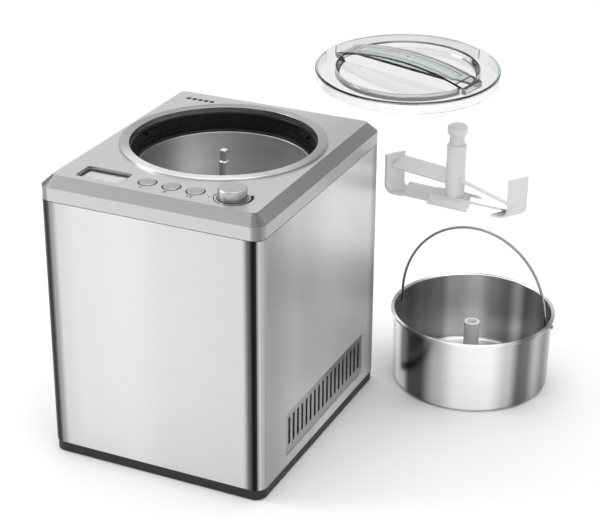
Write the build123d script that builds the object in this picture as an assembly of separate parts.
from build123d import *
import math
import os

# Compressor ice cream maker, millimetres, +Z up.
# The machine's base centre on the counter is the origin, -Y is the front.

# ---- housing ----
BODY_W = 264.0
BODY_D = 315.0
CORNER_R = 14.0
FOOT_H = 2.0
SKIRT_TOP = 12.9
SKIRT_INSET = 1.0
TOP_Z = 334.6
COVER_H = 26.2
SEAM_Z = TOP_Z - COVER_H
SEAM_GAP = 0.8
SHOULDER_DROP = 10.9
SHOULDER_Z = TOP_Z - SHOULDER_DROP
BEVEL_IN = 11.6
TOP_CORNER_R = 5.0
SHEET = 1.2
COVER_WALL = 2.2
LIP_CLEAR = 0.3
TRAY_WALL = 2.5

# ---- freezing well, all round one axis ----
WELL_X = 0.0
WELL_Y = 18.6
WELL_R = 96.2
WELL_WALL = 1.4
WELL_DEPTH = 80.5
WELL_RIM_Z = TOP_Z - 25.6
WELL_FLOOR_Z = WELL_RIM_Z - WELL_DEPTH
RING_STEP = 8.2
RING_R = WELL_R + RING_STEP
RING_WIDTH = 11.4
RING_RISE = 2.4
COLLAR_TOP_Z = TOP_Z - 4.6
COLLAR_LEDGE_Z = WELL_RIM_Z + 7.0
LUG_Z = COLLAR_TOP_Z - 8.0
LUG_T = 4.0
LUG_ANGLES = (172.0, 52.0, -68.0)
LUG_SPAN = 9.0

# ---- bowl, arm and lid, sized from the well they drop into ----
BOWL_CLEAR = 1.0
BOWL_WALL = 1.2
BOWL_PROUD = 11.5
BOWL_H = WELL_DEPTH + BOWL_PROUD
BOWL_TAPER = 1.0
BOWL_RIM_OVER = 3.6
BOWL_CORNER_R = 8.0
LID_CLEAR = 0.8
LID_TILT = 3.0
LID_FACING = 24.9
SHAFT_D = 11.0
SHAFT_RUN = 0.06
TUBE_WALL = 2.8
TUBE_RUN = 1.0
TUBE_OD = SHAFT_D + 2 * (TUBE_RUN + TUBE_WALL)
TUBE_CLEAR = 0.6
HUB_WALL = 1.4
HUB_D = TUBE_OD + 2 * (TUBE_CLEAR + HUB_WALL)
ARM_CLEAR = 7.0
ARM_RAISE = 1.0

# ---- where the loose pieces stand ----
BOWL_AT = (BODY_W / 2 + 104.3, BODY_D / 2 + 52.7)
ARM_AT = (BODY_W / 2 + 89.5, BODY_D / 2 + 8.5, 243.0)
LID_AT = (BODY_W / 2 + 34.2, BODY_D / 2 - 11.5, TOP_Z + 58.9)

# ---- controls ----
WINDOW = (-69.3, -122.6, 55.0, 29.0)
BUTTON_X = (-17.8, 10.6, 39.1)
BUTTON_Y = -121.0
BUTTON_D = 18.6
BUTTON_CLEAR = 0.35
BUTTON_TRAVEL = 1.2
KNOB_AT = (81.3, -119.4)
KNOB_D = 31.0
KNOB_H = 12.0

# ---- vents ----
VENT_N = 18
VENT_PITCH = 11.3
VENT_W = 5.0
VENT_Z0 = 35.5
VENT_H = 34.5
VENT_Y = 9.6
VENT_MARGIN = 9.0

# ---- inside ----
DECK_Z = WELL_FLOOR_Z - 16.1
DECK_T = 1.6
FOAM_R = WELL_R + 22.8
COIL_D = 6.0
COIL_TURNS = 7
COIL_PITCH = 9.0
COMP_R = 56.0
COMP_AT = (-56.0, 74.0)
COMP_Z0 = 26.0
COMP_H = 118.0
COND_X = BODY_W / 2 - 36.0
COND_T = 24.0
COND_D = 176.0
COND_Z0 = 16.0
COND_H = 126.0
FAN_R = 52.0
FAN_X = COND_X - 26.0
FAN_Z = 80.0
GEAR_M = 1.5
OUT_TEETH = 44
IDLER_TEETH = 34
PINION_TEETH = 12
GEAR_FACE = 10.0
GEAR_Z = DECK_Z - 26.4
GEAR_LASH = 0.8
BOX_WALL = 3.0
MOTOR_R = 26.0
MOTOR_H = 60.0


def slab(w, d, r, z0, z1, x=0.0, y=0.0):
    """Rounded rectangular block between two heights."""
    r = min(r, w / 2 - 0.01, d / 2 - 0.01)
    face = RectangleRounded(w, d, r)
    return Pos(x, y, z0) * extrude(face, z1 - z0)


def rod(r, z0, z1, x=0.0, y=0.0):
    """Upright cylinder between two heights."""
    return Pos(x, y, (z0 + z1) / 2) * Cylinder(r, z1 - z0)


def tube(r_in, r_out, z0, z1, x=0.0, y=0.0):
    """Upright ring between two heights."""
    return rod(r_out, z0, z1, x, y) - rod(r_in, z0 - 1, z1 + 1, x, y)


def rod_x(r, x0, x1, y, z):
    """Cylinder along X."""
    return Pos((x0 + x1) / 2, y, z) * Rot(0, 90, 0) * Cylinder(r, x1 - x0)


def rod_y(r, y0, y1, x, z):
    """Cylinder along Y."""
    return Pos(x, (y0 + y1) / 2, z) * Rot(90, 0, 0) * Cylinder(r, y1 - y0)


def box(x0, x1, y0, y1, z0, z1):
    """Plain block by its limits."""
    at = ((x0 + x1) / 2, (y0 + y1) / 2, (z0 + z1) / 2)
    return Pos(*at) * Box(x1 - x0, y1 - y0, z1 - z0)


def turned(points, x=0.0, y=0.0):
    """Solid of revolution about an upright axis from (radius, height) points."""
    face = make_face(Polyline(*[(r, 0, z) for r, z in points], close=True))
    return Pos(x, y, 0) * revolve(face, Axis.Z)


def at_well(shape):
    """Moves a shape made round the origin onto the well axis."""
    return Pos(WELL_X, WELL_Y, 0) * shape


def pipe(points, dia, bend):
    """Round pipe bent along a run of points."""
    path = FilletPolyline(*points, radius=bend)
    start = Plane(origin=path @ 0, z_dir=path % 0)
    return sweep(start * Circle(dia / 2), path=path)


def group(items):
    """Separate solids kept in one node."""
    return Compound(children=[item for item in items])


def save(name, shape, colour):
    """Writes one node."""
    solids = shape.solids()
    out = solids[0] if len(solids) == 1 else Compound(children=list(solids))
    out.label = name
    out.color = Color(*colour)
    export_step(out, "parts/" + name + ".step")
    print(name, len(solids), round(sum(s.volume for s in solids)))


STEEL = (0.78, 0.78, 0.79)
BLACK = (0.05, 0.05, 0.06)
COPPER = (0.75, 0.45, 0.25)
WHITE = (0.93, 0.93, 0.92)
GREY = (0.55, 0.56, 0.58)
FOAM = (0.92, 0.92, 0.88)
GREEN = (0.10, 0.35, 0.20)
BRASS = (0.80, 0.65, 0.30)
CLEAR = (0.85, 0.90, 0.95)

INNER_W = BODY_W - 2 * SHEET
INNER_D = BODY_D - 2 * SHEET
SHELL_TOP = SEAM_Z - SEAM_GAP / 2
COVER_Z0 = SEAM_Z + SEAM_GAP / 2
VENT_SPAN = (VENT_N - 1) * VENT_PITCH + VENT_W
VENT_ZC = VENT_Z0 + VENT_H / 2
TRAY_FLOOR = FOOT_H + 3.0
DRIER_AT = (COND_X - 20.0, VENT_Y - COND_D / 2 - 24.0)
WELL_OUT = WELL_R + WELL_WALL


# ---------------------------------------------------------------- base

FOOT_R = 11.0
BOARD_LOW = 24.0
BOARD_LEGS = [(x, y) for x in (-10.0, 50.0) for y in (-134.0, -56.0)]
FOOT_AT = [(sx * (BODY_W / 2 - 34.0), sy * (BODY_D / 2 - 35.5)) for sx in (-1, 1) for sy in (-1, 1)]
POST_AT = [(sx * (BODY_W / 2 - 16.0), sy * (BODY_D / 2 - 16.5)) for sx in (-1, 1) for sy in (-1, 1)]


def base_tray():
    w = BODY_W - 2 * SKIRT_INSET
    d = BODY_D - 2 * SKIRT_INSET
    r = CORNER_R - SKIRT_INSET
    body = slab(w, d, r, 0.0, SKIRT_TOP)
    low = [e for e in body.edges() if e.center().Z < 0.01]
    body = chamfer(low, 1.2)
    lip_w = INNER_W - 2 * LIP_CLEAR
    lip_d = INNER_D - 2 * LIP_CLEAR
    lip_r = CORNER_R - SHEET - LIP_CLEAR
    body += slab(lip_w, lip_d, lip_r, SKIRT_TOP - 1, SKIRT_TOP + 9)
    in_w = lip_w - 2 * TRAY_WALL
    in_d = lip_d - 2 * TRAY_WALL
    body -= slab(in_w, in_d, lip_r - TRAY_WALL, TRAY_FLOOR, SKIRT_TOP + 10)
    for row in range(7):
        y = -105.0 + row * 12.0
        body -= slab(70, 4.0, 1.9, -1, TRAY_FLOOR + 1, 20.0, y)
    for x, y in FOOT_AT:
        body -= rod(FOOT_R + 0.3, -1, FOOT_H, x, y)
    for x, y in BOARD_LEGS:
        body += rod(3.5, TRAY_FLOOR - 1, BOARD_LOW, x, y)
    return body + drier_clip()


def feet():
    made = []
    for x, y in FOOT_AT:
        pad = rod(FOOT_R, 0.0, FOOT_H, x, y)
        low = [e for e in pad.edges() if e.center().Z < 0.01]
        made.append(chamfer(low, 0.6))
    return group(made)


def side_plane(x, y, z):
    """Sketch plane facing +X, its own x along +Y and its own y along +Z."""
    return Plane(origin=(x, y, z), x_dir=(0, 1, 0), z_dir=(1, 0, 0))


def shell_window(z_low, z_high, side):
    """Opening for one vent panel, cut through the wrap."""
    w = VENT_SPAN + 2 * VENT_MARGIN
    plane = side_plane(side * BODY_W / 2, VENT_Y, (z_low + z_high) / 2)
    return plane * extrude(RectangleRounded(w, z_high - z_low, 6.0), 5, both=True)


def housing_shell():
    body = slab(BODY_W, BODY_D, CORNER_R, SKIRT_TOP, SHELL_TOP)
    body -= slab(INNER_W, INNER_D, CORNER_R - SHEET, SKIRT_TOP - 1, SHELL_TOP + 1)
    for side in (-1, 1):
        body -= shell_window(VENT_Z0 - 10.5, VENT_Z0 + VENT_H + 8.5, side)
    body -= box(36, 74, BODY_D / 2 - 5, BODY_D / 2 + 5, 34, 62)
    return body


def vent_panel(side):
    """Slotted plate behind the window in one side of the wrap."""
    outer = BODY_W / 2 - SHEET
    thick = 1.4
    w = VENT_SPAN + 2 * VENT_MARGIN + 14
    z0 = VENT_Z0 - 16.0
    z1 = VENT_Z0 + VENT_H + 14.0
    x0, x1 = (outer - thick, outer) if side > 0 else (-outer, -outer + thick)
    plate = box(x0, x1, VENT_Y - w / 2, VENT_Y + w / 2, max(z0, SKIRT_TOP + 9.3), z1)
    slot = extrude(RectangleRounded(VENT_W, VENT_H, 1.6), 6, both=True)
    for i in range(VENT_N):
        y = VENT_Y + (i - (VENT_N - 1) / 2) * VENT_PITCH
        plate -= side_plane((x0 + x1) / 2, y, VENT_ZC) * slot
    return plate


# ---------------------------------------------------------------- top

def cover_block(inset, z0, drop):
    """Bevelled block of the top, drawn in by a wall thickness."""
    w = BODY_W - 2 * inset
    d = BODY_D - 2 * inset
    r = CORNER_R - inset
    low = slab(w, d, r, z0, SHOULDER_Z - drop)
    w2 = w - 2 * BEVEL_IN
    d2 = d - 2 * BEVEL_IN
    base = Plane.XY.offset(SHOULDER_Z - drop) * RectangleRounded(w, d, r)
    roof = Plane.XY.offset(TOP_Z - drop) * RectangleRounded(w2, d2, TOP_CORNER_R)
    return low + loft([base, roof])


def top_cover():
    body = cover_block(0.0, COVER_Z0, 0.0)
    body -= cover_block(COVER_WALL, COVER_Z0 - 1, COVER_WALL)
    lip_w = INNER_W - 2 * LIP_CLEAR
    lip_d = INNER_D - 2 * LIP_CLEAR
    lip_r = CORNER_R - SHEET - LIP_CLEAR
    lip = slab(lip_w, lip_d, lip_r, COVER_Z0 - 9, COVER_Z0 + 6)
    in_w = BODY_W - 2 * COVER_WALL - 2
    in_d = BODY_D - 2 * COVER_WALL - 2
    lip -= slab(in_w, in_d, lip_r - 1.5, COVER_Z0 - 10, COVER_Z0 + 7)
    body += lip
    body -= rod(RING_R + 3.0, TOP_Z - 20, TOP_Z + 5, WELL_X, WELL_Y)
    x, y, w, d = WINDOW
    body -= slab(w, d, 4.0, TOP_Z - 20, TOP_Z + 5, x, y)
    for bx in BUTTON_X:
        body -= rod(BUTTON_D / 2 + BUTTON_CLEAR, TOP_Z - 20, TOP_Z + 5, bx, BUTTON_Y)
    body -= rod(5.0, TOP_Z - 20, TOP_Z + 5, KNOB_AT[0], KNOB_AT[1])
    return body


def trim_ring():
    r0 = RING_R
    r1 = RING_R + RING_WIDTH
    top = TOP_Z + RING_RISE
    skirt = RING_R + 2.4
    pts = [(r0, COLLAR_TOP_Z), (skirt, COLLAR_TOP_Z), (skirt, TOP_Z)]
    pts += [(r1, TOP_Z), (r1, top - 1.1), (r1 - 1.1, top)]
    pts += [(r0 + 1.4, top), (r0, top - 1.4)]
    return at_well(turned(pts))


def collar():
    r_out = RING_R + 2.4
    r_up = RING_R - 1.5
    r_low = RING_R - 3.2
    floor = WELL_R + 1.2
    low = WELL_RIM_Z
    pts = [(r_out, low), (r_out, COLLAR_TOP_Z), (r_up + 0.5, COLLAR_TOP_Z)]
    pts += [(r_up, COLLAR_TOP_Z - 0.5), (r_up, COLLAR_LEDGE_Z)]
    pts += [(r_low, COLLAR_LEDGE_Z), (r_low, low + 2.4)]
    pts += [(floor + 0.8, low + 2.4), (floor, low + 1.6), (floor, low)]
    body = turned(pts)
    for angle in LUG_ANGLES:
        wedge = tube(r_up - 3.6, r_up + 0.6, LUG_Z, LUG_Z + LUG_T)
        wedge &= wedge_sector(angle, LUG_SPAN, r_out)
        body += wedge
    return at_well(body)


def wedge_sector(angle, span, reach):
    """Block that keeps only a sector of a ring."""
    half = math.radians(span / 2)
    far = reach + 5
    pts = [(0, 0), (far * math.cos(half), -far * math.sin(half))]
    pts += [(far * math.cos(half), far * math.sin(half))]
    face = make_face(Polyline(*pts, close=True))
    return Pos(0, 0, 150) * Rot(0, 0, angle) * extrude(face, 260)


def well_gasket():
    return at_well(tube(WELL_OUT + 0.6, RING_R + 2.4, WELL_RIM_Z - 3.4, WELL_RIM_Z - 1.2))


def cooling_well():
    r0 = WELL_R
    r1 = WELL_OUT
    z0 = WELL_FLOOR_Z - 2.0
    rim = WELL_RIM_Z
    pts = [(BUSH_R, z0), (r1 - 3, z0), (r1, z0 + 3), (r1, rim - 1.2)]
    pts += [(RING_R, rim - 1.2), (RING_R, rim), (r0, rim)]
    pts += [(r0, WELL_FLOOR_Z + 2.5), (r0 - 2.5, WELL_FLOOR_Z), (BUSH_R, WELL_FLOOR_Z)]
    return at_well(turned(pts))


# ---------------------------------------------------------------- cold side

BUSH_R = SHAFT_D / 2 + 3.5
PIPE_A = math.radians(200.0)
COIL_R = WELL_OUT + COIL_D / 2 + 0.3
COIL_Z0 = WELL_FLOOR_Z + 8.0


def evaporator_coil():
    height = COIL_TURNS * COIL_PITCH
    helix = Pos(0, 0, COIL_Z0) * Helix(COIL_PITCH, height, COIL_R)
    start = Plane(origin=helix @ 0, z_dir=helix % 0)
    coil = sweep(start * Circle(COIL_D / 2), path=helix)
    return at_well(coil)


def insulation_jacket():
    z0 = DECK_Z + DECK_T
    z1 = WELL_RIM_Z - 3.4
    body = rod(FOAM_R, z0, z1)
    body -= rod(COIL_R + COIL_D / 2 + 0.4, WELL_FLOOR_Z - 2.0, z1 + 1)
    body -= rod(BUSH_R + 4.0, z0 - 1, WELL_FLOOR_Z)
    return at_well(body)


def shaft_bush():
    run = SHAFT_D / 2 + SHAFT_RUN
    pts = [(run, DECK_Z - 2), (BUSH_R + 3, DECK_Z - 2), (BUSH_R + 3, DECK_Z)]
    pts += [(BUSH_R - 0.5, DECK_Z), (BUSH_R - 0.5, WELL_FLOOR_Z - 2)]
    pts += [(BUSH_R, WELL_FLOOR_Z - 2), (BUSH_R, WELL_FLOOR_Z - 0.2)]
    pts += [(run, WELL_FLOOR_Z - 0.2)]
    return at_well(turned(pts))


def deck_plate():
    body = slab(INNER_W - 8, INNER_D - 8, 10, DECK_Z, DECK_Z + DECK_T)
    body -= rod(BUSH_R, DECK_Z - 1, DECK_Z + 3, WELL_X, WELL_Y)
    body -= slab(60, 10, 3, DECK_Z - 1, DECK_Z + 3, -20, -140)
    for x, y in POST_AT:
        body -= rod(2.2, DECK_Z - 1, DECK_Z + 3, x, y)
    return body


def deck_posts():
    return group([tube(2.2, 5.0, TRAY_FLOOR, DECK_Z, x, y) for x, y in POST_AT])


def deck_screws():
    made = []
    for x, y in POST_AT:
        head = rod(4.0, DECK_Z + DECK_T, DECK_Z + DECK_T + 2.4, x, y)
        head += rod(2.0, DECK_Z - 12, DECK_Z + DECK_T + 1, x, y)
        head -= box(x - 2.2, x + 2.2, y - 0.4, y + 0.4, DECK_Z + DECK_T + 1.2, DECK_Z + 6)
        made.append(head)
    return group(made)


# ---------------------------------------------------------------- drive

OUT_R = OUT_TEETH * GEAR_M / 2
IDLER_R = IDLER_TEETH * GEAR_M / 2
PINION_R = PINION_TEETH * GEAR_M / 2
IDLER_AT = (WELL_X + PINION_R + OUT_R + GEAR_LASH, WELL_Y)
PINION_AT = (IDLER_AT[0], WELL_Y - IDLER_R - PINION_R - GEAR_LASH)
IDLER_Z = GEAR_Z - GEAR_FACE - 1.0
SHAFT_LOW = GEAR_Z - GEAR_FACE - 12
SQUARE = SHAFT_D - 3.4
SHAFT_SHOULDER = WELL_RIM_Z + 2.6
SHAFT_TIP = SHAFT_SHOULDER + 13.4


def gear_wheel(teeth, bore, z0, z1, x, y, phase=0.0):
    """Spur gear with plain trapezoid teeth."""
    root = teeth * GEAR_M / 2 - 1.15 * GEAR_M
    tip = teeth * GEAR_M / 2 + 0.85 * GEAR_M
    step = 2 * math.pi / teeth
    pts = []
    for i in range(teeth):
        a = i * step + math.radians(phase)
        for share, r in ((-0.30, root), (-0.12, tip), (0.12, tip), (0.30, root)):
            pts.append((r * math.cos(a + share * step), r * math.sin(a + share * step)))
    wheel = extrude(make_face(Polyline(*pts, close=True)), z1 - z0)
    wheel = Pos(x, y, z0) * wheel
    return wheel - rod(bore, z0 - 1, z1 + 1, x, y)


def drive_shaft():
    r = SHAFT_D / 2
    shoulder = SHAFT_SHOULDER
    tip = SHAFT_TIP
    body = rod(r, SHAFT_LOW, shoulder)
    top = [e for e in body.edges() if e.center().Z > shoulder - 0.01]
    body = chamfer(top, 0.6)
    body += rod(SQUARE / 2 + 0.2, shoulder - 1, shoulder + 1.5)
    square = extrude(RectangleRounded(SQUARE, SQUARE, 1.0), tip - shoulder - 1.2)
    square = Pos(0, 0, shoulder + 1.2) * square
    high = [e for e in square.edges() if e.center().Z > tip - 0.01]
    body += chamfer(high, 0.8)
    return at_well(body)


def output_gear():
    body = gear_wheel(OUT_TEETH, SHAFT_D / 2, GEAR_Z, GEAR_Z + GEAR_FACE, 0, 0)
    body += tube(SHAFT_D / 2, 10, GEAR_Z + GEAR_FACE - 1, GEAR_Z + GEAR_FACE + 4)
    for i in range(6):
        a = math.radians(60 * i + 30)
        body -= rod(5.5, GEAR_Z - 1, GEAR_Z + 20, 20 * math.cos(a), 20 * math.sin(a))
    return at_well(body)


def idler_gear():
    x, y = IDLER_AT
    big = gear_wheel(IDLER_TEETH, 3.06, IDLER_Z, IDLER_Z + GEAR_FACE - 1, x, y)
    small = gear_wheel(
        PINION_TEETH, 3.06, IDLER_Z + GEAR_FACE - 1.01, GEAR_Z + GEAR_FACE, x, y,
        180.0 / PINION_TEETH + 180.0,
    )
    return big + small


def motor_pinion():
    x, y = PINION_AT
    return gear_wheel(PINION_TEETH, 2.5, IDLER_Z - 1, IDLER_Z + GEAR_FACE - 1, x, y, 90.0)


def motor_shaft():
    x, y = PINION_AT
    return rod(2.5, IDLER_Z - 14, IDLER_Z + GEAR_FACE, x, y)


def gearbox_sketch(grow):
    """Outline round the three gears."""
    outline = Pos(WELL_X, WELL_Y) * Circle(OUT_R + 4 + grow)
    outline += Pos(*IDLER_AT) * Circle(IDLER_R + 4 + grow)
    outline += Pos(*PINION_AT) * Circle(PINION_R + 8 + grow)
    return outline


BOX_Z0 = IDLER_Z - 6 - BOX_WALL
BOX_SPLIT = GEAR_Z + 2
BOX_Z1 = DECK_Z - 4
BOX_EARS = [(-42.0, -22.0), (-42.0, 60.0), (44.0, 64.0)]


def gearbox_lower():
    body = Pos(0, 0, BOX_Z0) * extrude(gearbox_sketch(BOX_WALL), BOX_SPLIT - BOX_Z0)
    inside = extrude(gearbox_sketch(0), BOX_SPLIT - BOX_Z0)
    body -= Pos(0, 0, BOX_Z0 + BOX_WALL) * inside
    body += rod(9, BOX_Z0, SHAFT_LOW - 0.4 + 6, WELL_X, WELL_Y)
    body -= rod(SHAFT_D / 2 + SHAFT_RUN, SHAFT_LOW - 0.4, GEAR_Z, WELL_X, WELL_Y)
    x, y = IDLER_AT
    body += rod(6, BOX_Z0, IDLER_Z - 0.6, x, y)
    body += rod(3.0, IDLER_Z - 1, GEAR_Z + GEAR_FACE + 4, x, y)
    x, y = PINION_AT
    body -= rod(8, BOX_Z0 - 1, BOX_Z0 + BOX_WALL + 1, x, y)
    return body


def gearbox_upper():
    body = Pos(0, 0, BOX_SPLIT) * extrude(gearbox_sketch(BOX_WALL), BOX_Z1 - BOX_SPLIT)
    inside = extrude(gearbox_sketch(0), BOX_Z1 - BOX_SPLIT - BOX_WALL)
    body -= Pos(0, 0, BOX_SPLIT) * inside
    for ex, ey in BOX_EARS:
        ear = rod(7, BOX_Z1 - 6, DECK_Z, ex, ey)
        arm_x = (WELL_X + ex) / 2
        arm_y = (WELL_Y + ey) / 2
        length = math.hypot(ex - WELL_X, ey - WELL_Y)
        turn = math.degrees(math.atan2(ey - WELL_Y, ex - WELL_X))
        web = Pos(arm_x, arm_y, BOX_Z1 - 1.5) * Rot(0, 0, turn) * Box(length, 9, 3)
        body += web + ear
    x, y = IDLER_AT
    body += rod(6, GEAR_Z + GEAR_FACE + 0.6, BOX_Z1, x, y)
    body -= rod(3.1, GEAR_Z, GEAR_Z + GEAR_FACE + 4.5, x, y)
    body -= rod(SHAFT_D / 2 + SHAFT_RUN, BOX_SPLIT, BOX_Z1 + 1, WELL_X, WELL_Y)
    return body


def agitator_motor():
    x, y = PINION_AT
    top = BOX_Z0
    body = rod(MOTOR_R, top - MOTOR_H, top, x, y)
    ends = [e for e in body.edges() if e.geom_type == GeomType.CIRCLE]
    body = fillet(ends, 3.0)
    body -= rod(2.56, IDLER_Z - 14.4, top + 1, x, y)
    body += tube(2.56, 6.0, top - 2, top + 2.0, x, y)
    return body


# ---------------------------------------------------------------- refrigeration

def compressor_can():
    """Welded can with the seam flange round it."""
    x, y = COMP_AT
    split = COMP_Z0 + COMP_H * 0.45
    body = rod(COMP_R, COMP_Z0, COMP_Z0 + COMP_H, x, y)
    ends = [e for e in body.edges() if e.geom_type == GeomType.CIRCLE]
    body = fillet(ends, 26.0)
    return body + tube(COMP_R - 0.5, COMP_R + 2.5, split - 3, split + 3, x, y)


def compressor_plate():
    x, y = COMP_AT
    z = COMP_Z0
    body = slab(2 * COMP_R + 20, 2 * COMP_R, 8, z - 3, z, x, y)
    for gx, gy in grommet_places():
        body -= rod(5.5, z - 4, z + 1, gx, gy)
    return body


def grommet_places():
    """Corners of the compressor's mounting plate."""
    x, y = COMP_AT
    return [(x + sx * COMP_R, y + sy * (COMP_R - 10)) for sx in (-1, 1) for sy in (-1, 1)]


def compressor_mounts():
    z = COMP_Z0
    made = []
    for x, y in grommet_places():
        grommet = rod(9, TRAY_FLOOR, z - 3, x, y)
        grommet += rod(5.5, z - 4, z, x, y)
        grommet += rod(8, z, z + 4, x, y)
        grommet -= rod(3, TRAY_FLOOR - 1, z + 5, x, y)
        made.append(grommet)
    return group(made)


def compressor_bolts():
    z = COMP_Z0 + 4
    made = []
    for x, y in grommet_places():
        bolt = rod(6, z, z + 1.4, x, y) + rod(3, TRAY_FLOOR, z + 0.5, x, y)
        nut = Pos(x, y, z + 1.4) * extrude(RegularPolygon(4.6, 6), 4)
        made.append(bolt + nut)
    return group(made)


def start_relay():
    x, y = COMP_AT
    x0 = x - 20
    y0 = y - COMP_R - 23
    body = box(x0, x0 + 40, y0, y - COMP_R - 3, 56, 104)
    sides = [e for e in body.edges() if abs(e.tangent_at(0.5).Y) > 0.9]
    return fillet(sides, 4.0)


def condenser_fins():
    made = []
    count = 19
    for i in range(count):
        y = VENT_Y - COND_D / 2 + i * COND_D / (count - 1)
        fin = box(COND_X, COND_X + COND_T, y - 0.35, y + 0.35, COND_Z0, COND_Z0 + COND_H)
        for k in range(7):
            z = COND_Z0 + COND_H * (k + 0.5) / 7
            fin -= rod_y(3.0, y - 2, y + 2, COND_X + COND_T / 2, z)
        made.append(fin)
    return group(made)


def condenser_tube():
    x = COND_X + COND_T / 2
    y0 = VENT_Y - COND_D / 2 - 4
    y1 = VENT_Y + COND_D / 2 + 4
    step = COND_H / 7
    points = [(x, y0 - 16, COND_Z0 + step / 2)]
    for k in range(7):
        z = COND_Z0 + step * (k + 0.5)
        far, near = (y1, y0) if k % 2 == 0 else (y0, y1)
        reach = 10 if far == y1 else -10
        points.append((x, far + reach, z))
        if k < 6:
            points.append((x, far + reach, z + step))
    return pipe(points, 6.0, step / 2 - 0.5)


def condenser_plates():
    """Two end plates that carry the condenser off the tray floor."""
    made = []
    for y in (VENT_Y - COND_D / 2 - 4, VENT_Y + COND_D / 2 + 4):
        plate = box(COND_X - 4, COND_X + COND_T + 2, y - 0.7, y + 0.7, TRAY_FLOOR, COND_Z0 + COND_H)
        for k in range(7):
            z = COND_Z0 + COND_H * (k + 0.5) / 7
            plate -= rod_y(3.0, y - 2, y + 2, COND_X + COND_T / 2, z)
        made.append(plate)
    return group(made)


def fan_shroud():
    z0 = TRAY_FLOOR
    side = FAN_R + 6
    x0 = FAN_X
    x1 = COND_X - 4.5
    body = box(x0, x1, VENT_Y - side, VENT_Y + side, z0, FAN_Z + side)
    body -= rod_x(FAN_R + 2, x0 - 1, x1 + 1, VENT_Y, FAN_Z)
    hub = rod_x(17, x0, x0 + 3, VENT_Y, FAN_Z)
    for i in range(4):
        spoke = Pos(x0 + 1.5, VENT_Y, FAN_Z) * Rot(45 + 90 * i, 0, 0)
        hub += spoke * Pos(0, 0, FAN_R / 2 + 8) * Box(3, 5, FAN_R - 10)
    return body + hub


def fan_motor():
    x0 = FAN_X + 3
    body = rod_x(14, x0, x0 + 4, VENT_Y, FAN_Z)
    return body - rod_x(2.0, x0 - 1, x0 + 7, VENT_Y, FAN_Z)


def fan_blades():
    x0 = FAN_X + 9.6
    body = rod_x(15, x0, x0 + 8, VENT_Y, FAN_Z)
    body += rod_x(1.95, FAN_X + 3.4, x0 + 1, VENT_Y, FAN_Z)
    for i in range(7):
        blade = Pos(0, 0, (FAN_R + 12) / 2) * Rot(0, 0, 32) * Box(1.6, 20, FAN_R - 13)
        body += Pos(x0 + 4, VENT_Y, FAN_Z) * Rot(360 / 7 * i, 0, 0) * blade
    body &= rod_x(FAN_R, FAN_X, FAN_X + 21, VENT_Y, FAN_Z)
    return body


def discharge_pipe():
    x, y = COMP_AT
    z = COMP_Z0 + COMP_H + 4
    last = VENT_Y + COND_D / 2 + 4 + 10
    points = [(x + 24, y + 20, z - 7), (x + 24, y + 20, z + 8), (x + 24, last + 14, z + 8)]
    points += [(COND_X + 12, last + 14, z + 8), (COND_X + 12, last + 14, z - 30)]
    return pipe(points, 5.0, 7.0)


def suction_pipe():
    x, y = COMP_AT
    z = COMP_Z0 + COMP_H + 4
    points = [(x - 24, y + 20, z - 7), (x - 24, y + 20, z + 16), (x - 24, y + 52, z + 16)]
    points += [(x - 24, y + 52, DECK_Z - 1)]
    return pipe(points, 6.0, 8.0)


def filter_drier():
    x, y = DRIER_AT
    body = rod(8.0, 40, 120, x, y)
    ends = [e for e in body.edges() if e.geom_type == GeomType.CIRCLE]
    body = chamfer(ends, 5.0)
    return body + rod(3.0, 30, 130, x, y)


def drier_clip():
    """Clip moulded on the tray that holds the drier."""
    x, y = DRIER_AT
    body = tube(8.0, 10.0, 70, 82, x, y)
    body += box(x - 12, x - 9.4, y - 6, y + 6, TRAY_FLOOR - 1, 82)
    return body + box(x - 22, x - 9.4, y - 6, y + 6, TRAY_FLOOR - 1, TRAY_FLOOR + 2)


# ---------------------------------------------------------------- electrics

BOARD_Z = TOP_Z - 32.6


def control_board():
    return slab(216, 34, 2, BOARD_Z, BOARD_Z + 1.6, 0, BUTTON_Y)


def board_pillars():
    """Pillars between the cover's underside and the board."""
    made = []
    for x in (-104.5, -33, 62, 104.5):
        made.append(rod(2.6, BOARD_Z + 1.6, TOP_Z - COVER_WALL, x, BUTTON_Y + 13.5))
    return group(made)


def display_bezel():
    x, y, w, d = WINDOW
    top = TOP_Z - COVER_WALL
    body = slab(w + 8, d + 6, 5, top - 5.0, top, x, y)
    body -= slab(w - 1.0, d - 1.0, 4, top - 2.0, top + 1, x, y)
    body -= slab(w - 9.0, d - 9.0, 2, top - 6.0, top + 1, x, y)
    return body


def display_window():
    x, y, w, d = WINDOW
    top = TOP_Z - COVER_WALL - 2.0
    return slab(w - 1.6, d - 1.6, 3.5, top, top + 1.2, x, y)


def display_module():
    x, y, w, d = WINDOW
    top = TOP_Z - COVER_WALL - 5.3
    body = slab(w - 4, d - 3, 2, top - 5, top, x, y)
    body += slab(w - 10, d - 10, 1.5, top - 1, top + 2.6, x, y)
    for sx in (-1, 1):
        body += box(x + sx * 20 - 1, x + sx * 20 + 1, y - 8, y + 8, BOARD_Z + 1.6, top - 4)
    return body


def button(x):
    r = BUTTON_D / 2
    top = TOP_Z + 2.4
    cap = rod(r, TOP_Z - 2.6, TOP_Z + 0.6, x, BUTTON_Y)
    sphere_r = (r * r + 1.8 * 1.8) / (2 * 1.8)
    dome = Pos(x, BUTTON_Y, top - sphere_r) * Sphere(sphere_r)
    cap += dome & rod(r, TOP_Z + 0.5, top + 1, x, BUTTON_Y)
    cap += rod(r + 1.6, TOP_Z - 5.6, TOP_Z - COVER_WALL - 0.2 - 0.2, x, BUTTON_Y)
    cap += rod(2.6, BOARD_Z + 8.2, TOP_Z - 5, x, BUTTON_Y)
    return cap


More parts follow.
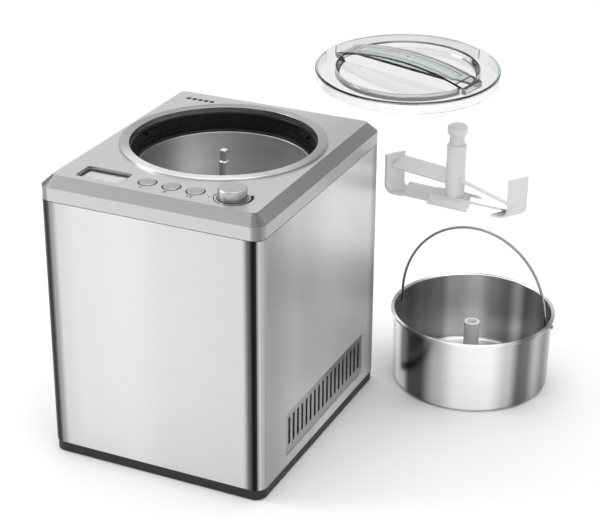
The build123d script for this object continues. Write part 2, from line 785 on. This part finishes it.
def key_switches():
    made = []
    for x in BUTTON_X:
        body = box(x - 6, x + 6, BUTTON_Y - 6, BUTTON_Y + 6, BOARD_Z + 1.6, BOARD_Z + 5)
        body += rod(3.2, BOARD_Z + 4.9, BOARD_Z + 6.8, x, BUTTON_Y)
        made.append(body)
    return group(made)


def knob():
    x, y = KNOB_AT
    z0 = TOP_Z + 0.5
    z1 = TOP_Z + KNOB_H
    body = rod(KNOB_D / 2, z0, z1, x, y)
    high = [e for e in body.edges() if e.center().Z > z1 - 0.01]
    body = chamfer(high, 1.2)
    body -= rod(KNOB_D / 2 - 2.2, z0 - 1, z1 - 3, x, y)
    body += rod(5.4, z0 + 0.2, z1 - 2, x, y)
    body -= rod(3.0, z0 - 1, z1 - 3, x, y)
    return body


def knob_shaft():
    x, y = KNOB_AT
    return rod(3.0, BOARD_Z + 6, TOP_Z + KNOB_H - 3, x, y)


def encoder():
    x, y = KNOB_AT
    body = box(x - 7, x + 7, y - 7, y + 7, BOARD_Z + 1.6, BOARD_Z + 12)
    body += rod(4.6, BOARD_Z + 11.9, BOARD_Z + 18, x, y)
    return body - rod(3.05, BOARD_Z + 5.6, BOARD_Z + 19, x, y)


def power_inlet():
    y = BODY_D / 2
    body = box(37, 73, y - 24, y - 0.2, 35, 61)
    body += box(33, 77, y, y + 1.6, 31, 65)
    body += box(37.5, 72.5, y - 1, y + 1, 35.5, 60.5)
    cut = box(43, 67, y - 17, y + 3, 40, 56)
    return body - cut


def inlet_pins():
    y = BODY_D / 2
    made = []
    for x, z in ((48, 46), (62, 46), (55, 51.5)):
        made.append(box(x - 1, x + 1, y - 30, y - 4, z - 2, z + 2))
    return group(made)


def power_board():
    return slab(70, 90, 2, BOARD_LOW, BOARD_LOW + 1.6, 20, -95)


def board_parts():
    z = 25.6
    made = [box(-8, 24, -132, -98, z, z + 28)]
    for i in range(3):
        made.append(rod(7, z, z + 24, 42, -124 + 17 * i))
    made.append(box(-6, 20, -88, -60, z, z + 16))
    return group(made)


# ---------------------------------------------------------------- bowl

BOWL_R_TOP = WELL_R - BOWL_CLEAR
BOWL_R_LOW = BOWL_R_TOP - BOWL_TAPER
TUBE_R = TUBE_OD / 2
TUBE_TOP = BOWL_H - 18.0
BAIL_D = 3.2
BAIL_TURN = 3.3
BAIL_LEAN = 8.0
BAIL_PIVOT_Z = BOWL_H - 7.5
BAIL_H = 121.0


def bowl():
    r1 = BOWL_R_TOP
    r0 = BOWL_R_LOW
    rim = r1 + BOWL_RIM_OVER
    h = BOWL_H
    t = BOWL_WALL
    c = BOWL_CORNER_R
    pts = [(0, 0), (r0 - c, 0)]
    pts += [(r0 - c + c * math.sin(a), c - c * math.cos(a)) for a in arc_steps(9)]
    pts += [(r1, h - 4.2), (rim - 0.5, h - 4.0), (rim + 0.2, h - 2.4), (rim, h - 0.8)]
    pts += [(rim - 1.2, h), (r1 + 0.6, h), (r1 - t + 0.2, h - 0.8)]
    ci = c - t
    pts += [(r1 - t, h - 2.6)]
    inner = [(r0 - c + ci * math.sin(a), c - ci * math.cos(a)) for a in arc_steps(9)]
    pts += inner[::-1]
    pts += [(r0 - c, t), (0, t)]
    body = turned(pts)
    for side in (-1, 1):
        mid = side * (r1 + 1)
        body -= rod_x(BAIL_D / 2 + 0.06, mid - 7, mid + 7, 0, BAIL_PIVOT_Z)
    body -= rod(TUBE_R - 1.4, -1, t + 1)
    return Pos(BOWL_AT[0], BOWL_AT[1], 0) * Rot(0, 0, BAIL_TURN) * body


def arc_steps(n):
    """Angles of a quarter turn."""
    return [math.pi / 2 * i / (n - 1) for i in range(1, n)]


def bowl_tube():
    t = BOWL_WALL
    bore = SHAFT_D / 2 + TUBE_RUN
    foot = TUBE_R + 5
    pts = [(bore, 0.3), (TUBE_R - 1.4, 0.3), (TUBE_R - 1.4, t), (foot, t)]
    pts += [(foot, t + 2), (TUBE_R + 1, t + 5), (TUBE_R, t + 8)]
    pts += [(TUBE_R, TUBE_TOP - 1), (TUBE_R - 1, TUBE_TOP), (bore, TUBE_TOP)]
    return turned(pts, BOWL_AT[0], BOWL_AT[1])


def bail():
    """Wire arch whose ends pass outward through the bowl's wall."""
    leg = BOWL_R_TOP - BOWL_WALL - 5.0
    out = BOWL_R_TOP + 4.2
    low = 10.0
    rise = BAIL_H - low
    steps = 14
    arch = []
    for i in range(1, steps):
        a = math.pi * i / steps
        arch.append((-leg * math.cos(a), 0, low + rise * math.sin(a)))
    path_a = FilletPolyline((-out, 0, 0), (-leg, 0, 0), (-leg, 0, low), radius=3.5)
    path_b = Spline(
        [(-leg, 0, low)] + arch + [(leg, 0, low)],
        tangents=[(0, 0, 1), (0, 0, -1)],
    )
    path_c = FilletPolyline((leg, 0, low), (leg, 0, 0), (out, 0, 0), radius=3.5)
    wire = Wire(list(path_a.edges()) + list(path_b.edges()) + list(path_c.edges()))
    start = Plane(origin=(-out, 0, 0), z_dir=(1, 0, 0))
    body = sweep(start * Circle(BAIL_D / 2), path=wire)
    for side in (-1, 1):
        mid = side * (out - 1.1)
        body += rod_x(BAIL_D / 2 + 0.9, mid - 1.1, mid + 1.1, 0, 0)
    body = Pos(0, 0, BAIL_PIVOT_Z) * Rot(BAIL_LEAN, 0, 0) * body
    return Pos(BOWL_AT[0], BOWL_AT[1], 0) * Rot(0, 0, BAIL_TURN) * body


# ---------------------------------------------------------------- mixing arm

ARM_TURN = -5.0
BLADE_TURN = 62.0
BLADE_W = 26.0
BLADE_H = 48.0
BLADE_T = 2.6
WEB_T = 2.4
WEB_TILT = 24.0
ARM_REACH = BOWL_R_LOW - BOWL_WALL - ARM_CLEAR
ARM_BASE_Z = WELL_FLOOR_Z + BOWL_WALL + ARM_RAISE
HUB_TOP = WELL_FLOOR_Z + TUBE_TOP - ARM_BASE_Z + 2.2
NECK_TOP = HUB_TOP + 11.5
ARM_TOP = NECK_TOP + 11.5


def arm_half():
    """Half length that keeps the turned blades' corners inside the reach."""
    a = math.radians(BLADE_TURN)
    across = BLADE_W / 2 * math.sin(a) + BLADE_T
    along = BLADE_W / 2 * math.cos(a)
    return math.sqrt(ARM_REACH ** 2 - across ** 2) - along


def web(x0, z0, x1, z1, width, tilt, y=0.0):
    """Flat blade along the arm, tilted about its own length."""
    length = math.hypot(x1 - x0, z1 - z0)
    along = Vector((x1 - x0) / length, 0, (z1 - z0) / length)
    t = math.radians(tilt)
    across = Vector(0, math.cos(t), math.sin(t))
    mid = ((x0 + x1) / 2, y, (z0 + z1) / 2)
    plane = Plane(origin=mid, x_dir=along, z_dir=along.cross(across))
    return plane * Box(length, width, WEB_T)


def arm_ends():
    """The two scraper blades with the rounded turns into the floor strap."""
    half = arm_half()
    outer = Rectangle(2 * half, 2 * BLADE_H)
    inner = Rectangle(2 * half - 2 * BLADE_T, 2 * BLADE_H + 1)
    face = fillet(outer.vertices(), 11.0) - Pos(0, BLADE_T + 0.5) * fillet(inner.vertices(), 8.4)
    face &= Pos(0, -BLADE_H / 2) * Rectangle(2 * half, BLADE_H)
    face -= Pos(0, -BLADE_H / 2) * Rectangle(2 * half - 44, 2 * BLADE_H)
    a = math.radians(BLADE_TURN)
    reach = Vector(math.cos(a), math.sin(a), 0)
    plane = Plane(origin=reach * (-BLADE_W / 2) + Vector(0, 0, BLADE_H), x_dir=(1, 0, 0), z_dir=(0, -1, 0))
    return extrude(plane * face, BLADE_W, dir=reach)


def mixing_arm():
    half = arm_half()
    hub = HUB_D / 2
    bore = TUBE_R + TUBE_CLEAR
    neck = SHAFT_D / 2 + 2.2
    body = rod(hub, 1.5, HUB_TOP)
    high = [e for e in body.edges() if e.center().Z > HUB_TOP - 0.1]
    body = chamfer(high, 1.0)
    body += rod(neck, HUB_TOP - 1, NECK_TOP + 1)
    for k in range(12):
        a = math.radians(30 * k)
        body += rod(0.9, HUB_TOP - 1, NECK_TOP + 1, neck * math.cos(a), neck * math.sin(a))
    cap = rod(11.5, NECK_TOP, ARM_TOP)
    ends = [e for e in cap.edges() if e.geom_type == GeomType.CIRCLE]
    body += fillet(ends, 3.0)
    body += arm_ends()
    body += web(-half + 16, 6.0, -8, 6.0, 22.0, WEB_TILT)
    body += web(8, 6.0, half - 16, 6.0, 22.0, -WEB_TILT)
    body += web(-half + 3, 38.0, -8, 33.0, 22.0, WEB_TILT)
    body += web(8, 31.0, half - 3, 12.0, 20.0, -WEB_TILT)
    body += web(-25, 7.5, 25, 7.5, 15.0, 30.0, -15.5)
    body += web(-25, 7.5, 25, 7.5, 15.0, -30.0, 15.5)
    body += box(-14, 14, -14, 14, 2, 11)
    body -= rod(bore, -1, HUB_TOP - 1.4)
    foot = TUBE_R + 6.3
    body -= turned([(0, -1), (foot, -1), (foot, 1.2), (bore + 1.4, 4.8), (bore, 7.8), (0, 7.8)])
    body -= rod(SHAFT_D / 2 + 0.6, -1, SHAFT_SHOULDER - ARM_BASE_Z + 0.7)
    socket = RectangleRounded(SQUARE + 0.6, SQUARE + 0.6, 1.2)
    deep = SHAFT_TIP - ARM_BASE_Z + 0.4
    body -= Pos(0, 0, HUB_TOP) * extrude(socket, deep - HUB_TOP)
    return Pos(*ARM_AT) * Rot(0, 0, ARM_TURN) * body


# ---------------------------------------------------------------- lid

LID_R = RING_R - LID_CLEAR
LID_SKIRT = RING_R - 1.5 - LID_CLEAR
LID_SKIRT_H = 11.0
LID_TOP = 14.0
LID_FLOOR = 6.6
LID_WALL = 2.4
LID_WELL_R = LID_SKIRT - 23.1
LID_TURN = -13.5
BAR_W = 32.0
BAR_HALF = LID_WELL_R + 9.0
BAR_RISE = 12.0
FLAP_HALF = LID_WELL_R - 5.0
FLAP_T = 2.0


def lid_place(shape):
    """Turns and tilts a lid piece and puts it in its place."""
    turn = Rot(0, 0, LID_TURN - LID_FACING)
    return Pos(*LID_AT) * Rot(0, 0, LID_FACING) * Rot(LID_TILT, 0, 0) * turn * shape


def lid_block():
    """Clear lid before the bar is added."""
    t = LID_WALL
    f = LID_FLOOR
    pts = [(0, f - t), (LID_WELL_R + t, f - t), (LID_WELL_R + t, LID_SKIRT_H)]
    pts += [(LID_SKIRT - 1.6, LID_SKIRT_H), (LID_SKIRT - 1.6, 0), (LID_SKIRT, 0)]
    pts += [(LID_SKIRT, LID_SKIRT_H), (LID_R, LID_SKIRT_H), (LID_R, LID_TOP - 0.8)]
    pts += [(LID_R - 0.8, LID_TOP), (LID_WELL_R + 1.2, LID_TOP), (LID_WELL_R, LID_TOP - 1.2)]
    pts += [(LID_WELL_R - 1.5, f + 1.5), (LID_WELL_R - 3.0, f), (0, f)]
    return turned(pts)


def arch(half, drop, low, width):
    """Bar with an arched top, flat below, along X."""
    ends = ((-half, 0, LID_TOP - drop), (0, 0, LID_TOP + BAR_RISE - drop), (half, 0, LID_TOP - drop))
    top = ThreePointArc(*ends)
    rest = Polyline(ends[2], (half, 0, low), (-half, 0, low), ends[0])
    face = make_face(Wire(list(top.edges()) + list(rest.edges())))
    return extrude(face, width / 2, both=True)


def lid():
    body = lid_block()
    body += arch(BAR_HALF, 0.0, LID_FLOOR - 1, BAR_W)
    body -= arch(BAR_HALF - 6, LID_WALL, -1, BAR_W - 2 * LID_WALL)
    cut = FLAP_T + 0.3
    clear = box(-FLAP_HALF - 0.4, FLAP_HALF + 0.4, -BAR_W, BAR_W, LID_TOP - cut + 0.2, 40)
    body -= clear & (arch(BAR_HALF, -1, 0, BAR_W + 2) - arch(BAR_HALF, cut, -1, BAR_W + 4))
    body -= box(-FLAP_HALF + 8, FLAP_HALF - 8, -9.6, 9.6, LID_TOP - 4, 40)
    for angle in LUG_ANGLES:
        notch = tube(LID_SKIRT - 3.2, LID_R + 2, -1, LID_SKIRT_H)
        body -= notch & low_sector(angle)
    return lid_place(body)


def refill_flap():
    """Arched cover that lies on the lid's bar."""
    body = arch(BAR_HALF, 0.0, 0, BAR_W) - arch(BAR_HALF, FLAP_T, -1, BAR_W + 4)
    body &= box(-FLAP_HALF, FLAP_HALF, -BAR_W, BAR_W, LID_TOP - FLAP_T, 40)
    rib = arch(BAR_HALF, FLAP_T - 0.2, 0, 18.0) - arch(BAR_HALF, FLAP_T + 2.6, -1, 30.0)
    rib &= box(-FLAP_HALF + 9, FLAP_HALF - 9, -9.0, 9.0, LID_TOP, 40)
    body += rib - box(-FLAP_HALF, FLAP_HALF, -7.2, 7.2, 0, 40)
    body -= rod(1.5, 0, 40)
    return lid_place(body)


def low_sector(angle):
    """Sector block at the lid's own height."""
    return Pos(0, 0, -160) * wedge_sector(angle - LID_TURN, LUG_SPAN + 3, LID_R)


# ---------------------------------------------------------------- write

def main():
    os.makedirs("parts", exist_ok=True)
    save("base_tray", base_tray(), BLACK)
    save("feet", feet(), BLACK)
    save("housing_shell", housing_shell(), STEEL)
    save("vent_panel_right", vent_panel(1), STEEL)
    save("vent_panel_left", vent_panel(-1), STEEL)
    save("top_cover", top_cover(), STEEL)
    save("trim_ring", trim_ring(), STEEL)
    save("collar", collar(), BLACK)
    save("well_gasket", well_gasket(), BLACK)
    save("cooling_well", cooling_well(), GREY)
    save("evaporator_coil", evaporator_coil(), COPPER)
    save("insulation_jacket", insulation_jacket(), FOAM)
    save("shaft_bush", shaft_bush(), BRASS)
    save("deck_plate", deck_plate(), GREY)
    save("deck_posts", deck_posts(), GREY)
    save("deck_screws", deck_screws(), STEEL)
    save("drive_shaft", drive_shaft(), STEEL)
    save("output_gear", output_gear(), WHITE)
    save("idler_gear", idler_gear(), WHITE)
    save("motor_pinion", motor_pinion(), BRASS)
    save("motor_shaft", motor_shaft(), STEEL)
    save("gearbox_lower", gearbox_lower(), GREY)
    save("gearbox_upper", gearbox_upper(), GREY)
    save("agitator_motor", agitator_motor(), GREY)
    save("compressor_can", compressor_can(), BLACK)
    save("compressor_plate", compressor_plate(), GREY)
    save("compressor_mounts", compressor_mounts(), BLACK)
    save("compressor_bolts", compressor_bolts(), STEEL)
    save("start_relay", start_relay(), BLACK)
    save("condenser_fins", condenser_fins(), GREY)
    save("condenser_tube", condenser_tube(), COPPER)
    save("condenser_plates", condenser_plates(), GREY)
    save("fan_shroud", fan_shroud(), BLACK)
    save("fan_motor", fan_motor(), GREY)
    save("fan_blades", fan_blades(), WHITE)
    save("discharge_pipe", discharge_pipe(), COPPER)
    save("suction_pipe", suction_pipe(), COPPER)
    save("filter_drier", filter_drier(), COPPER)
    save("control_board", control_board(), GREEN)
    save("board_pillars", board_pillars(), WHITE)
    save("display_bezel", display_bezel(), BLACK)
    save("display_window", display_window(), CLEAR)
    save("display_module", display_module(), GREY)
    for name, x in zip(("button_left", "button_middle", "button_right"), BUTTON_X):
        save(name, button(x), STEEL)
    save("key_switches", key_switches(), BLACK)
    save("knob", knob(), STEEL)
    save("knob_shaft", knob_shaft(), STEEL)
    save("encoder", encoder(), GREY)
    save("power_inlet", power_inlet(), BLACK)
    save("inlet_pins", inlet_pins(), BRASS)
    save("power_board", power_board(), GREEN)
    save("board_parts", board_parts(), BLACK)
    save("bowl", bowl(), STEEL)
    save("bowl_tube", bowl_tube(), WHITE)
    save("bail", bail(), STEEL)
    save("mixing_arm", mixing_arm(), WHITE)
    save("lid", lid(), CLEAR)
    save("refill_flap", refill_flap(), CLEAR)


main()
